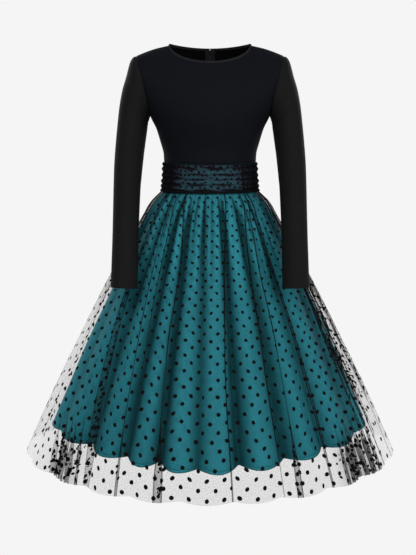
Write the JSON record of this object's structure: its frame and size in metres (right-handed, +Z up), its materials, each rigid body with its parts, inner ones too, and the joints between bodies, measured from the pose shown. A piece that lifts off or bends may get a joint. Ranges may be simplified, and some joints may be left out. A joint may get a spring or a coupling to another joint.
{
  "type": "a-line dress",
  "caption": "Long-sleeved knee-length dress with a knit bodice, a ruched waistband and a gathered satin skirt under a longer dotted net skirt.",
  "frame": {"origin": "midway between the two neck points, on the line of the shoulder seams, where the wearer carries the dress", "axes": "+Z up; the dress faces -Y; +X is the wearer's left"},
  "size_m": [0.9002, 0.8563, 1.0153],
  "materials": {
    "knit": "matt black double knit",
    "satin": "petrol-blue satin",
    "net": "black net with flocked dots",
    "zip_tape": "woven tape",
    "zip_metal": "black lacquered zip slider"
  },
  "bodies": {
    "dress": {"bodice_front": "knit", "bodice_back_left": "knit", "bodice_back_right": "knit", "sleeve_left": "knit", "sleeve_right": "knit", "neck_binding": "knit", "waistband_front": "satin", "waistband_back_left": "satin", "waistband_back_right": "satin", "band_net_front": "net", "band_net_back_left": "net", "band_net_back_right": "net", "underskirt_front": "satin", "underskirt_back_left": "satin", "underskirt_back_right": "satin", "overskirt_front": "net", "overskirt_back_left": "net", "overskirt_back_right": "net", "zip_tape_left": "zip_tape", "zip_tape_right": "zip_tape", "zip_slider": "zip_metal"},
    "pull_tab": {"zip_pull": "zip_metal"}
  },
  "joints": [
    {"name": "pull_tab_swing", "type": "hinge", "parent": "dress", "child": "pull_tab", "pos_m": [0, 0.07475, -0.03323], "axis": [1, 0, 0], "range_deg": [0, 150]}
  ]
}
